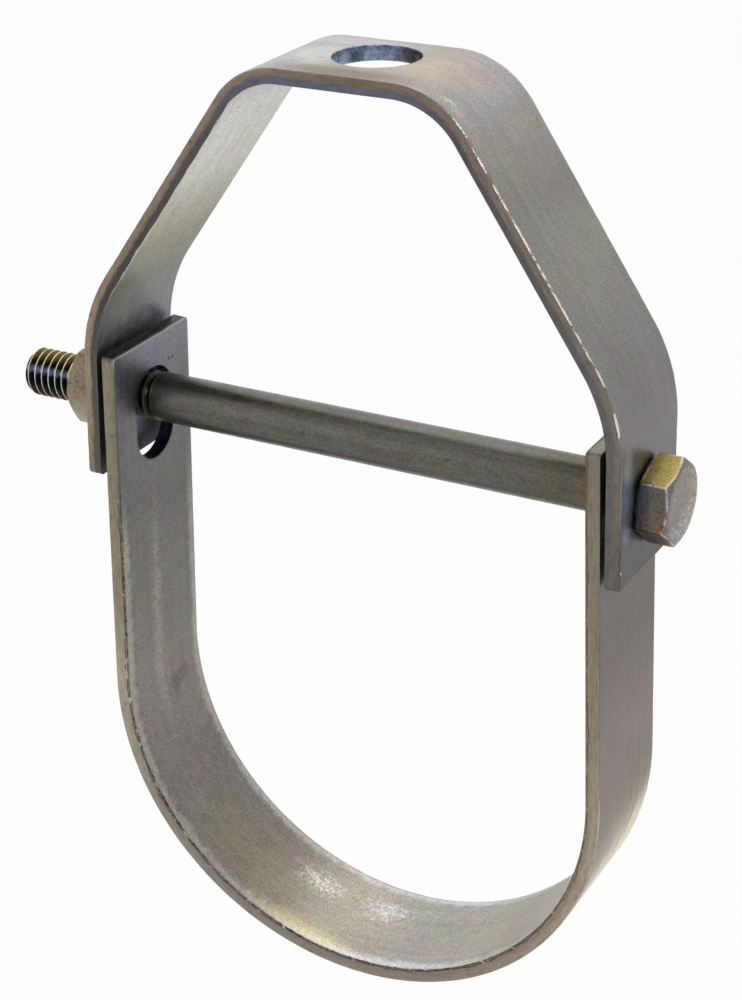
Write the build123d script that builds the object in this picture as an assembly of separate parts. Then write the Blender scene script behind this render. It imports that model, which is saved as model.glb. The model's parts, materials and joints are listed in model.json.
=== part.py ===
from build123d import *
import os
from math import asin, atan2, cos, hypot, radians, sin, tan

# Clevis pipe hanger. A bent yoke hangs on a threaded rod through the hole in its top plate. A U strap cradles the
# pipe, and a long hex bolt with its nut joins the strap's legs inside the yoke's legs.
# Everything is drawn about the bolt: X runs along it towards its head, Y runs along the pipe, Z is up, and the
# origin is the middle of the bolt's axis between the yoke's legs. The last step moves it all to the rod hole.
# Lengths are in millimetres.

# Driving dimensions of the strip that both straps are cut from
STRIP_WIDTH = 25.4
STRIP_EDGE_ROUND = 0.3
STRIP_CORNER_ROUND = 1.0

# Driving dimensions of the lower strap
PIPE_SPACE_RADIUS = 49.5
STRAP_THICKNESS = 3.0
STRAP_DROP = 59.0
STRAP_HALF_WIDTH = 50.85
STRAP_SHIFT = 0.15
STRAP_TOP = 12.0
SLOT_WIDTH = 12.7
SLOT_LENGTH = 19.05
SLOT_ABOVE_BOLT = 5.8

# Driving dimensions of the upper yoke, whose two sides are bent a little unequally
YOKE_THICKNESS = 2.85
YOKE_LEG_END = 13.05
YOKE_HOLE_RADIUS = 5.16
SHOULDER_HEIGHT = 19.8
SHOULDER_BEND_RADIUS = 32.4
NUT_SIDE_SHOULDER = 54.05
NUT_SIDE_LEG_END = 55.25
HEAD_SIDE_SHOULDER = 54.45
HEAD_SIDE_LEG_END = 54.95
PLATE_TOP = 71.0
PLATE_HALF_LENGTH = 19.4
PLATE_SHIFT = 1.5
NUT_SIDE_PLATE_BEND = 15.2
HEAD_SIDE_PLATE_BEND = 17.0
ROD_HOLE_RADIUS = 7.8
ROD_HOLE_SETBACK = 1.8

# Driving dimensions of the cross bolt, a 3/8 in hex bolt with a coarse thread
BOLT_RADIUS = 4.7625
THREAD_RADIUS = 4.72
THREAD_END = 75.6
SHANK_END = 45.4
THREAD_END_BEVEL = 0.9
HEX_ACROSS_FLATS = 14.29
HEX_HALF_SECTOR = 30
HEX_BEVEL_ANGLE = 30
HEAD_HEIGHT = 6.1
HEAD_TURN = 19.6
WASHER_FACE_RADIUS = 6.79
WASHER_FACE_HEIGHT = 0.4
SEAT_GAP = 0.02

# Driving dimensions of the nut
NUT_THICKNESS = 8.33
NUT_TURN = -4.0
NUT_RUNNING_CLEARANCE = 0.05
NUT_COUNTERSINK = 0.7

# How far a drawn edge or arc may be off the place or radius that it is picked out by
HEIGHT_MATCH = 0.1
RADIUS_MATCH = 0.01
TILT_MATCH = 5

# How far the bevel's cutter stands outside the hexagon's corners
CUTTER_SPARE = 0.5


def seat(shoulder, leg_end):
    """How far from the middle a washer face stands, so that its lowest point clears the leg's outer face."""
    lean = (leg_end - shoulder) / (SHOULDER_HEIGHT + YOKE_LEG_END)
    return shoulder + lean * (SHOULDER_HEIGHT + WASHER_FACE_RADIUS) + SEAT_GAP


# Sizes that hang on the driving ones
HEX_CORNER_RADIUS = HEX_ACROSS_FLATS / 2 / cos(radians(HEX_HALF_SECTOR))
NUT_SEAT = seat(NUT_SIDE_SHOULDER, NUT_SIDE_LEG_END)
HEAD_SEAT = seat(HEAD_SIDE_SHOULDER, HEAD_SIDE_LEG_END)

# A vertical drawing plane whose own axes are the hanger's X and Z
FRONT = Plane(origin=(0, 0, 0), x_dir=(1, 0, 0), z_dir=(0, -1, 0))
# A plane across the bolt whose own axes are the hanger's Y and Z
ACROSS = Plane(origin=(0, 0, 0), x_dir=(0, 1, 0), z_dir=(1, 0, 0))


def inset(points, distance):
    """Move each side of an open run of straight sides inwards, to the right of its direction."""
    sides = []
    for (x0, z0), (x1, z1) in zip(points, points[1:]):
        length = hypot(x1 - x0, z1 - z0)
        nx, nz = (z1 - z0) / length, -(x1 - x0) / length
        sides.append(((x0 + nx * distance, z0 + nz * distance), ((x1 - x0) / length, (z1 - z0) / length)))
    corners = []
    for ((px, pz), (dx, dz)), ((qx, qz), (ex, ez)) in zip(sides, sides[1:]):
        along = ((qx - px) * ez - (qz - pz) * ex) / (dx * ez - dz * ex)
        corners.append((px + dx * along, pz + dz * along))
    # The two ends stay level with the outer run's ends
    (px, pz), (dx, dz) = sides[0]
    first = (px + dx * (points[0][1] - pz) / dz, points[0][1])
    (px, pz), (dx, dz) = sides[-1]
    last = (px + dx * (points[-1][1] - pz) / dz, points[-1][1])
    return [first] + corners + [last]


def strip(section):
    """Give a bent strip's side view its width, centred on the bolt's middle."""
    return extrude(section, amount=STRIP_WIDTH / 2, both=True)


def round_strip(body, end_height):
    """Round the corners of the two leg ends, then take the sharpness off the cut edges."""
    ends = body.edges().filter_by(Axis.X, tolerance=TILT_MATCH)
    ends = ends.filter_by_position(Axis.Z, end_height - HEIGHT_MATCH, end_height + HEIGHT_MATCH)
    body = fillet(ends, STRIP_CORNER_ROUND)
    return fillet(body.faces().filter_by(Axis.Y).edges(), STRIP_EDGE_ROUND)


def across_legs(profile):
    """A cutter that passes through both legs along the bolt."""
    return extrude(ACROSS * profile, amount=NUT_SIDE_LEG_END + HEAD_SIDE_LEG_END, both=True)


def upper_yoke():
    """The flat top plate, two sloping sides and two legs, bent from one strip."""
    outer = [
        (-NUT_SIDE_LEG_END, -YOKE_LEG_END),
        (-NUT_SIDE_SHOULDER, SHOULDER_HEIGHT),
        (PLATE_SHIFT - PLATE_HALF_LENGTH, PLATE_TOP),
        (PLATE_SHIFT + PLATE_HALF_LENGTH, PLATE_TOP),
        (HEAD_SIDE_SHOULDER, SHOULDER_HEIGHT),
        (HEAD_SIDE_LEG_END, -YOKE_LEG_END),
    ]
    inner = inset(outer, YOKE_THICKNESS)
    bends = [SHOULDER_BEND_RADIUS, NUT_SIDE_PLATE_BEND, HEAD_SIDE_PLATE_BEND, SHOULDER_BEND_RADIUS]
    outside = FilletPolyline(*outer, radius=bends)
    inside = FilletPolyline(*inner, radius=[r - YOKE_THICKNESS for r in bends])
    ends = [Line(outer[0], inner[0]), Line(inner[-1], outer[-1])]
    body = strip(FRONT * make_face(outside.edges() + inside.edges() + ends))
    body = round_strip(body, -YOKE_LEG_END)
    body -= across_legs(Circle(YOKE_HOLE_RADIUS))
    rod_hole = Pos(PLATE_SHIFT, ROD_HOLE_SETBACK, PLATE_TOP) * Cylinder(ROD_HOLE_RADIUS, PLATE_TOP)
    return body - rod_hole


def lower_strap():
    """A half round that holds the pipe, with two legs that lean in a little and a long slot in each."""
    # The leg's outer face is the tangent from the bolt's height to the half round
    lean = asin((PIPE_SPACE_RADIUS + STRAP_THICKNESS) / hypot(STRAP_HALF_WIDTH, STRAP_DROP))
    lean -= atan2(STRAP_HALF_WIDTH, STRAP_DROP)

    def leg(radius):
        touch = (radius * cos(lean), -STRAP_DROP + radius * sin(lean))
        rise = STRAP_TOP - touch[1]
        return touch, (touch[0] - rise * tan(lean), STRAP_TOP)

    def half_round(radius):
        (x, z), (top_x, top_z) = leg(radius)
        bottom = (0, -STRAP_DROP - radius)
        return [Line((-top_x, top_z), (-x, z)), ThreePointArc((-x, z), bottom, (x, z)), Line((x, z), (top_x, top_z))]

    outer_top = leg(PIPE_SPACE_RADIUS + STRAP_THICKNESS)[1]
    inner_top = leg(PIPE_SPACE_RADIUS)[1]
    ends = [Line(outer_top, inner_top), Line((-outer_top[0], STRAP_TOP), (-inner_top[0], STRAP_TOP))]
    section = make_face(half_round(PIPE_SPACE_RADIUS + STRAP_THICKNESS) + half_round(PIPE_SPACE_RADIUS) + ends)
    body = round_strip(strip(FRONT * section), STRAP_TOP)
    slot = Pos(0, SLOT_ABOVE_BOLT - SLOT_LENGTH / 2) * SlotOverall(SLOT_LENGTH, SLOT_WIDTH, rotation=90)
    # The strap hangs a little nearer to the bolt's head
    return Pos(STRAP_SHIFT, 0, 0) * (body - across_legs(slot))


def hexagon(turn, start, height):
    """A hexagonal prism along X from start, with one corner turned from the Y axis towards Z."""
    outline = RegularPolygon(HEX_ACROSS_FLATS / 2, 6, major_radius=False, rotation=turn)
    return Pos(start, 0, 0) * extrude(ACROSS * outline, height)


def bevel_envelope(start, height, at_start, at_end):
    """A turned body that cuts the corners off a hexagon at its start, its end or both."""
    reach = HEX_CORNER_RADIUS + CUTTER_SPARE
    depth = (reach - WASHER_FACE_RADIUS) * tan(radians(HEX_BEVEL_ANGLE))
    end = start + height
    rim = [(start, WASHER_FACE_RADIUS), (start + depth, reach)] if at_start else [(start, reach)]
    rim += [(end - depth, reach), (end, WASHER_FACE_RADIUS)] if at_end else [(end, reach)]
    return revolve(FRONT * make_face(Polyline((start, 0), *rim, (end, 0), close=True)), Axis.X)


def cross_bolt():
    """Hex head with a washer face, plain shank, and the threaded end as a plain round bar."""
    head_start = HEAD_SEAT + WASHER_FACE_HEIGHT
    head_height = HEAD_HEIGHT - WASHER_FACE_HEIGHT
    head = hexagon(HEAD_TURN, head_start, head_height) & bevel_envelope(head_start, head_height, False, True)
    half = make_face(Polyline(
        (head_start, 0),
        (head_start, WASHER_FACE_RADIUS),
        (HEAD_SEAT, WASHER_FACE_RADIUS),
        (HEAD_SEAT, BOLT_RADIUS),
        (-SHANK_END, BOLT_RADIUS),
        (-SHANK_END - (BOLT_RADIUS - THREAD_RADIUS), THREAD_RADIUS),
        (-THREAD_END + THREAD_END_BEVEL, THREAD_RADIUS),
        (-THREAD_END, THREAD_RADIUS - THREAD_END_BEVEL),
        (-THREAD_END, 0),
        close=True,
    ))
    return head + revolve(FRONT * half, Axis.X)


def hex_nut():
    """Hex nut with both faces bevelled and its bore countersunk at both ends."""
    start = -NUT_SEAT - NUT_THICKNESS
    body = hexagon(NUT_TURN, start, NUT_THICKNESS) & bevel_envelope(start, NUT_THICKNESS, True, True)
    bore = THREAD_RADIUS + NUT_RUNNING_CLEARANCE
    body -= Pos(start + NUT_THICKNESS / 2, 0, 0) * Rot(0, 90, 0) * Cylinder(bore, 2 * NUT_THICKNESS)
    mouths = body.edges().filter_by(GeomType.CIRCLE).filter_by(lambda e: abs(e.radius - bore) < RADIUS_MATCH)
    return chamfer(mouths, NUT_COUNTERSINK)


# The rod hole's centre on the plate's underside becomes the origin
TO_ROD_HOLE = Pos(-PLATE_SHIFT, -ROD_HOLE_SETBACK, YOKE_THICKNESS - PLATE_TOP)

os.makedirs("parts", exist_ok=True)
export_step(TO_ROD_HOLE * upper_yoke(), "parts/upper_yoke.step")
export_step(TO_ROD_HOLE * lower_strap(), "parts/lower_strap.step")
export_step(TO_ROD_HOLE * cross_bolt(), "parts/cross_bolt.step")
export_step(TO_ROD_HOLE * hex_nut(), "parts/hex_nut.step")
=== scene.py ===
"""Looks of the clevis pipe hanger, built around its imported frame.

Two straps are sheared from flat steel strip, punched and bent, and a long hex bolt with its nut joins them. Each
strap is worked out as its flat blank, with its sheared edges and punched holes, and is then folded along its side
view. The bolt and the nut are profiles carried round the bolt's axis. Lengths are in metres and angles in degrees.
"""
import json
import logging
import math
from collections.abc import Sequence
from dataclasses import dataclass, field
from enum import Enum
from functools import partial, reduce

import bmesh
import bpy
import numpy as np
from mathutils import Matrix, Vector


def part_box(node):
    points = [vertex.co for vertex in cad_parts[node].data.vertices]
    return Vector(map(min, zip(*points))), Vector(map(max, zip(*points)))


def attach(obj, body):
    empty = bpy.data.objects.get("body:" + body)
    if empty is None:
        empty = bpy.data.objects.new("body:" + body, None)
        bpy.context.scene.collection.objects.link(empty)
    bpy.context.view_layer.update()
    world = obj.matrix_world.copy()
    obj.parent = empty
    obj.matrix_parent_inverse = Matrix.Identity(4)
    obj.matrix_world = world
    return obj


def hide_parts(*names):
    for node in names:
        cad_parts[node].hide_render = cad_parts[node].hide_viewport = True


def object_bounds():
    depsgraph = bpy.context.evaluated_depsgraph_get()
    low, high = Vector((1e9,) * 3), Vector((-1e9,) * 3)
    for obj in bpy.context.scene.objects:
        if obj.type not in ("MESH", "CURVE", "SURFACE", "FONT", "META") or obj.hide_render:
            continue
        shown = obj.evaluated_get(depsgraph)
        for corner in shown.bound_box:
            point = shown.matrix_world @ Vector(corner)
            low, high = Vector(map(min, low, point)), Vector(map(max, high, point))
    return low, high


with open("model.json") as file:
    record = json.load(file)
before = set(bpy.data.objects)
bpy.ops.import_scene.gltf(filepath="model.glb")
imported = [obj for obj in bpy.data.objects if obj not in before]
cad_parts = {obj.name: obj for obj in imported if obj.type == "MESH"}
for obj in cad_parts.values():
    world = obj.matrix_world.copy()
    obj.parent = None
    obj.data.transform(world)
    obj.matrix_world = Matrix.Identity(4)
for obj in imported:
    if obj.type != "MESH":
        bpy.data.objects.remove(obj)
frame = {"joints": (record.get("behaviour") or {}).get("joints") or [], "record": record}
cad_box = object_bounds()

log = logging.getLogger("hanger")
MM = 0.001
Array = np.ndarray
Colour = tuple[float, float, float]
Stops = tuple[tuple[float, ...], ...]
Socket = bpy.types.NodeSocket
WHITE = (1.0, 1.0, 1.0)
# Points along a quarter turn of an edge or a corner
ARC_POINTS = 6
# The range in which most of a noise's values lie
CLOUDS = (0.3, 0.7)
# Colour stops of a tone that shows nowhere
NOWHERE = ((0, 0, 0, 0, 0.0), (1, 0, 0, 0, 0.0))


def srgb(red: int, green: int, blue: int) -> Colour:
    """Turn a colour as a screen shows it, 0 to 255, into the linear values that a shader takes."""
    shares = np.array([red, green, blue]) / 255
    return tuple(float(v) for v in np.where(shares <= 0.04045, shares / 12.92, ((shares + 0.055) / 1.055) ** 2.4))


class Slot(Enum):
    """The record's material slots."""

    YOKE = "yoke_steel"
    STRAP = "strap_steel"
    BOLT = "bolt_steel"
    NUT = "nut_steel"


# Meshes from arrays


def ring_quads(rows: int, columns: int, close_rows: bool = False, close_columns: bool = False) -> Array:
    """Number the faces of a grid of points stored row by row.

    Args:
        rows: Points down the grid.
        columns: Points across the grid.
        close_rows: Join the last row to the first.
        close_columns: Join the last column to the first.

    Returns:
        One row of four point numbers for each face.
    """
    down = np.arange(rows if close_rows else rows - 1)[:, None]
    across = np.arange(columns if close_columns else columns - 1)[None, :]
    below, beside = (down + 1) % rows, (across + 1) % columns
    corners = [down * columns + across, down * columns + beside, below * columns + beside, below * columns + across]
    return np.stack([np.broadcast_to(c, (down.size, across.size)) for c in corners], -1).reshape(-1, 4)


@dataclass
class Skin:
    """Points and four-sided faces of one piece, with named values at each point."""

    points: Array
    quads: Array
    tags: dict[str, Array] = field(default_factory=dict)

    def joined(self, other: "Skin") -> "Skin":
        """Put another skin's points and faces after this one's."""
        tags = {k: np.concatenate([v, other.tags[k]]) for k, v in self.tags.items()}
        return Skin(np.concatenate([self.points, other.points]),
                    np.concatenate([self.quads, other.quads + len(self.points)]), tags)

    def welded(self, grain: float = 1e-8) -> tuple["Skin", Array]:
        """Merge points that share a place, and turn the faces that lose a side into triangles.

        Args:
            grain: Points closer than about this are one point.

        Returns:
            The skin with its whole faces, and the three-sided faces that are left of the others.
        """
        keys = np.round(self.points / grain).astype(np.int64)
        _, first, where = np.unique(keys, axis=0, return_index=True, return_inverse=True)
        quads = where.reshape(-1)[self.quads]
        lost = quads == np.roll(quads, -1, axis=1)
        count = lost.sum(1)
        short, gone = quads[count == 1], lost[count == 1].argmax(1)
        turn = (gone[:, None] + 1 + np.arange(3)) % 4
        triangles = np.take_along_axis(short, turn, 1)
        whole = quads[count == 0]
        # A face whose opposite corners met has folded flat and is left out
        whole = whole[(whole[:, 0] != whole[:, 2]) & (whole[:, 1] != whole[:, 3])]
        triangles = triangles[triangles[:, 0] != triangles[:, 2]]
        return Skin(self.points[first], whole, {k: v[first] for k, v in self.tags.items()}), triangles


def placed(name: str, data: bpy.types.ID) -> bpy.types.Object:
    """Put a new object into the scene.

    Args:
        name: Its name.
        data: Its mesh, light or camera.

    Returns:
        The object.
    """
    made = bpy.data.objects.new(name, data)
    bpy.context.scene.collection.objects.link(made)
    return made


def build_piece(name: str, skin: Skin, triangles: Array, crease: float) -> bpy.types.Object:
    """Make a Blender object from a skin, with its faces turned outwards.

    Args:
        name: The piece's name.
        skin: Points in the hanger's own frame, faces and tags.
        triangles: Further faces with three sides.
        crease: Edges sharper than this many degrees stay sharp.

    Returns:
        The new object, which sits at the origin.
    """
    mesh = bpy.data.meshes.new(name)
    mesh.from_pydata(skin.points.tolist(), [], skin.quads.tolist() + triangles.tolist())
    for tag, values in skin.tags.items():
        kind, key = ("FLOAT_VECTOR", "vector") if values.ndim == 2 else ("FLOAT", "value")
        mesh.attributes.new(tag, kind, "POINT").data.foreach_set(key, values.astype(np.float32).ravel())
    shell = bmesh.new()
    shell.from_mesh(mesh)
    bmesh.ops.recalc_face_normals(shell, faces=shell.faces)
    open_edges = sum(not e.is_manifold for e in shell.edges)
    shell.to_mesh(mesh)
    shell.free()
    mesh.shade_smooth()
    mesh.set_sharp_from_angle(angle=math.radians(crease))
    piece = placed(name, mesh)
    log.info("%s: %d points, %d faces, %d open edges", name, len(mesh.vertices), len(mesh.polygons), open_edges)
    return piece


def drift(place: Array, seed: float, *waves: float) -> Array:
    """Give a slow, uneven value from 0 to 1 along a line, as the mean of a few sines of unlike length.

    Args:
        place: Distances along the line.
        seed: Shifts every wave.
        waves: The waves' lengths.

    Returns:
        The value at each place.
    """
    total = sum(np.sin(2 * np.pi * place / w + seed * (3.1 + i)) for i, w in enumerate(waves))
    return 0.5 + 0.5 * total / len(waves)


# Flat blanks and their folding


@dataclass(frozen=True)
class ShearedEdge:
    """How a cut edge looks in section: rolled over on the side the blade met, torn below, with a small foot.

    Where groove isn't nil, the torn part has a thin crack just above the foot.
    """

    inset: float
    roll_width: float
    roll_depth: float
    land: float
    draw: float
    foot: float
    groove: float = 0.0

    def rows(self, thickness: float, wear: Array, wander: Array) -> tuple[Array, Array, Array, Array]:
        """Work out the edge's section at each point of a rim.

        From the outer face the section goes out along the face, over a quarter ellipse, straight down the burnished
        land, in along the torn part, into and out of the crack, round a small foot and back along the inner face.

        Args:
            thickness: The strip's thickness.
            wear: From 0 to 1 at each point of the rim, how far the roll-over and the tear go there.
            wander: From 0 to 1 at each point of the rim, how high the crack runs there.

        Returns:
            Outward reach, depth, share of wall and share of lip, each as rim points by section rows. The lip is 1 on
            the roll-over and -1 on the foot, and -2 in the crack.
        """
        share = wear[:, None]
        quarter, steps = np.radians(np.linspace(0, 90, ARC_POINTS)), np.array([0.35, 0.7, 0.97])
        lowest, spread, crack_width = 0.14 * MM, 0.5 * MM, 0.12 * MM
        wide = self.roll_width * (0.75 + 0.5 * share)
        deep = self.roll_depth * (0.7 + 0.6 * share)
        land = self.land * thickness * (0.8 + 0.4 * share)
        torn = self.inset - self.draw * (0.6 + 0.8 * share)
        bottom = thickness - self.foot
        crack = bottom - lowest - spread * wander[:, None] ** 2
        sink = self.groove * (0.3 + 0.7 * share)
        heel = quarter[1::2]
        tear = self.inset + (torn - self.inset) * steps
        parts = (
            (0.0, 0.0, 0.0, 0.0),
            (0.5 * (self.inset - wide), 0.0, 0.0, 0.0),
            (self.inset - wide * (1 - np.sin(quarter)), deep * (1 - np.cos(quarter)),
             np.linspace(0, 1, ARC_POINTS) ** 2, np.sin(2 * quarter)),
            (self.inset, land, 1.0, 0.0),
            (tear, land + (crack - lowest - land) * steps, 1.0, 0.0),
            (torn - sink, crack, 1.0, -2.0 if self.groove else 0.0),
            (torn, crack + crack_width, 1.0, 0.0),
            (torn - self.foot * (1 - np.cos(heel)), bottom + self.foot * np.sin(heel), [0.9, 0.5, 0.0],
             [-0.8, -1.0, -0.6]),
            (0.5 * (torn - self.foot), thickness, 0.0, 0.0),
            (0.0, thickness, 0.0, 0.0),
        )
        level = [np.broadcast_arrays(*part, share)[:4] for part in parts]
        return tuple(np.concatenate(values, 1) for values in zip(*level))


PUNCHED_LIP = ShearedEdge(inset=0.9 * MM, roll_width=0.30 * MM, roll_depth=0.22 * MM, land=0.45, draw=-0.05 * MM,
                          foot=0.08 * MM)


@dataclass(frozen=True)
class Punch:
    """A hole through the blank: round, or a long slot where its straight half length isn't nil."""

    along: float
    across: float
    radius: float
    straight: float
    patch: float

    def rim(self, angle: Array, grow: float) -> tuple[Array, Array]:
        """Find the rim's points in given directions from the hole's middle.

        On the slot's sides the distance is the radius over the sine. On its ends it is the way to a circle whose
        centre is the straight half length off.

        Args:
            angle: Directions in radians from the blank's length.
            grow: How far outside the cut rim the points lie.

        Returns:
            Points on the blank, and the directions from the steel into the hole.
        """
        radius = self.radius + grow
        c, s = np.cos(angle), np.sin(angle)
        reach = self.straight * np.abs(c) + np.sqrt(np.maximum(radius**2 - (self.straight * s) ** 2, 0))
        on_side = np.abs(c) * radius < self.straight * np.abs(s)
        reach = np.where(on_side, radius / np.maximum(np.abs(s), 1e-9), reach)
        offset = np.stack([reach * c, reach * s], -1)
        end = np.clip(offset[:, :1], -self.straight, self.straight) * [1, 0]
        away = offset - end
        away /= np.linalg.norm(away, axis=1, keepdims=True)
        return offset + [self.along, self.across], -away


@dataclass(frozen=True)
class SideView:
    """A strip's bent shape seen along the pipe: straight runs and arcs of its outer face, one after another."""

    start: tuple[float, float]
    heading: float
    runs: tuple[tuple[float, float], ...]
    inside: float

    @property
    def length(self) -> float:
        """The outer face's length from end to end."""
        return sum(length for length, _ in self.runs)

    def fold(self, blank: Array, middle: float) -> Array:
        """Bend points of the flat blank into place.

        Each run has a steady curvature, so a point's place is its run's start plus a chord.

        Args:
            blank: Points as distance along, distance across and depth below the outer face.
            middle: Where the strip's middle line lies along Y.

        Returns:
            Points in the hanger's frame.
        """
        lengths, turns = np.array(self.runs).T
        turns = np.radians(turns)
        begin, facing = (np.concatenate([[0], np.cumsum(values)[:-1]]) for values in (lengths, turns))
        curve, facing = turns / lengths, facing + math.radians(self.heading)
        hops = np.cumsum(self._chord(lengths, curve, facing), 0)
        origin = np.array(self.start) + np.concatenate([[[0, 0]], hops[:-1]])
        run = np.clip(np.searchsorted(begin, blank[:, 0], side="right") - 1, 0, len(lengths) - 1)
        way = blank[:, 0] - begin[run]
        x, z = (origin[run] + self._chord(way, curve[run], facing[run])).T
        aim, sink = facing[run] + curve[run] * way, self.inside * blank[:, 2]
        return np.stack([x - sink * np.sin(aim), blank[:, 1] + middle, z + sink * np.cos(aim)], -1)

    @staticmethod
    def _chord(way: Array, curve: Array, facing: Array) -> Array:
        """Step along an arc: distance times sin(half) over half its turn, towards its heading plus half its turn."""
        half = curve * way / 2
        return (way * np.sinc(half / np.pi))[:, None] * np.stack([np.cos(facing + half), np.sin(facing + half)], -1)


@dataclass
class BentStrip:
    """A strip of steel cut to length, punched and bent."""

    name: str
    side: SideView
    width: float
    thickness: float
    middle: float
    punches: tuple[Punch, ...]
    edge: ShearedEdge
    lip: ShearedEdge = PUNCHED_LIP
    seed: float = 0.0
    droop: float = 0.0
    droop_reach: float = 2.8 * MM
    step: float = 0.75 * MM
    patch_rows: int = 9

    def _nodes(self, low: float, high: float) -> Array:
        """Divide a stretch into equal steps."""
        return np.linspace(low, high, max(2, round((high - low) / self.step)) + 1)

    def _stretches(self) -> list[tuple[float, float, Punch | None]]:
        """Part the blank's length into plain stretches and the patches round its holes.

        Returns:
            Each part's two ends and its hole, if it has one.
        """
        place, parts = self.edge.inset, []
        for punch in sorted(self.punches, key=lambda p: p.along):
            parts.append((place, punch.along - punch.patch, None))
            parts.append((punch.along - punch.patch, punch.along + punch.patch, punch))
            place = punch.along + punch.patch
        return parts + [(place, self.side.length - self.edge.inset, None)]

    @staticmethod
    def _sides(along: Array, across: Array) -> list[Array]:
        """Walk round a rectangle's four sides, each from its first corner to its last."""
        runs = [(along, across[0]), (along[-1], across), (along[::-1], across[-1]), (along[0], across[::-1])]
        return [np.stack(np.broadcast_arrays(s, y), -1) for s, y in runs]

    def _patch(self, low: float, high: float, punch: Punch, across: Array) -> tuple[Skin, Array]:
        """Fill a patch round a hole with spokes that run from the hole's rim to the patch's frame.

        Args:
            low: The patch's near end along the blank.
            high: Its far end.
            punch: The hole.
            across: The blank's own divisions across its width.

        Returns:
            The flat patch, and the spokes' directions from the hole's middle.
        """
        frame_points = np.concatenate([side[:-1] for side in self._sides(self._nodes(low, high), across)])
        angle = np.arctan2(frame_points[:, 1] - punch.across, frame_points[:, 0] - punch.along)
        share = np.linspace(0, 1, self.patch_rows)[:, None, None]
        points = punch.rim(angle, self.lip.inset)[0] * (1 - share) + frame_points * share
        return Skin(points.reshape(-1, 2), ring_quads(self.patch_rows, len(frame_points), close_columns=True)), angle

    def _band(self, rim: Array, outward: Array, edge: ShearedEdge, seed: float, punched: float) -> Skin:
        """Carry an edge's section along a closed rim.

        Args:
            rim: The flat rim's points.
            outward: The direction out of the steel at each.
            edge: The section.
            seed: Sets where the edge is worn.
            punched: 1 round a hole and 0 round the blank.

        Returns:
            The wall between the outer and the inner face, as blank points.
        """
        place = np.concatenate([[0], np.cumsum(np.linalg.norm(np.diff(rim, axis=0), axis=1))])
        wear = drift(place, seed, 7.3 * MM, 11.9 * MM, 4.1 * MM, 2.3 * MM)
        wander = drift(place, 2 * seed, 31.0 * MM, 17.0 * MM, 5.3 * MM)
        reach, depth, wall, lip = edge.rows(self.thickness, wear, wander)
        flat = rim[:, None, :] + outward[:, None, :] * reach[:, :, None]
        points = np.concatenate([flat, depth[:, :, None]], 2)
        rows, columns = reach.shape
        tags = {"wall": wall.ravel(), "lip": lip.ravel(), "punched": np.full(wall.size, punched)}
        return Skin(points.reshape(-1, 3), ring_quads(rows, columns, close_rows=True), tags)

    def _outline(self, along: Array, across: Array) -> tuple[Array, Array]:
        """Walk round the blank's four sides, fanning out at each corner.

        Args:
            along: Every division of the long sides.
            across: Every division of the ends.

        Returns:
            The rim's points and the direction out of the steel at each.
        """
        points, outward = [], []
        for quarter, side in enumerate(self._sides(along, across)):
            fan = np.radians(90 * quarter - 90 + np.linspace(0, 90, ARC_POINTS)[:-1])[:, None]
            aims = np.concatenate([np.full((len(side), 1), fan[0]), fan[1:]])
            points += [side, np.broadcast_to(side[-1], (len(fan) - 1, 2))]
            outward.append(np.concatenate([np.cos(aims), np.sin(aims)], 1))
        return np.concatenate(points), np.concatenate(outward)

    def _drooped(self, blank: Array) -> Array:
        """Let the inner face fall away towards both long edges, by a squared share of the way into their margin.

        Args:
            blank: The blank's points.

        Returns:
            The points, with their depths changed.
        """
        into = np.clip(1 - (self.width / 2 - np.abs(blank[:, 1])) / self.droop_reach, 0, 1)
        below = np.clip(2 * blank[:, 2] / self.thickness - 1, 0, 1)
        return blank - np.array([0, 0, 1]) * (self.droop * into**2 * below)[:, None]

    def build(self) -> bpy.types.Object:
        """Make the strip's mesh.

        Returns:
            The finished piece, riding nowhere yet.
        """
        half = self.width / 2 - self.edge.inset
        across = self._nodes(-half, half)
        sheets, along, bands = [], [], []
        for low, high, punch in self._stretches():
            nodes = self._nodes(low, high)
            along.append(nodes[:-1])
            if punch is None:
                grid = np.stack(np.meshgrid(nodes, across, indexing="ij"), -1).reshape(-1, 2)
                sheets.append(Skin(grid, ring_quads(nodes.size, across.size)))
            else:
                part, angle = self._patch(low, high, punch, across)
                sheets.append(part)
                seed = self.seed + 7 * len(bands)
                bands.append(self._band(*punch.rim(angle, self.lip.inset), self.lip, seed, 1.0))
        along = np.concatenate(along + [[self.side.length - self.edge.inset]])
        bands.append(self._band(*self._outline(along, across), self.edge, self.seed, 0.0))
        sheet = reduce(Skin.joined, sheets)
        plain = {tag: np.zeros(len(sheet.points)) for tag in ("wall", "lip", "punched")}
        faces = [Skin(np.insert(sheet.points, 2, depth, axis=1), sheet.quads, plain) for depth in (0.0, self.thickness)]
        skin = reduce(Skin.joined, faces + bands)
        skin.tags["blank"] = skin.points
        skin, triangles = skin.welded()
        skin.points = self.side.fold(self._drooped(skin.tags["blank"]), self.middle)
        return build_piece(self.name, skin, triangles, crease=50)


# The two straps


def mount(name: str) -> dict:
    """Look up one of the record's mounts."""
    return next(m for m in frame["record"]["mounts"] if m["name"] == name)


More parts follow.
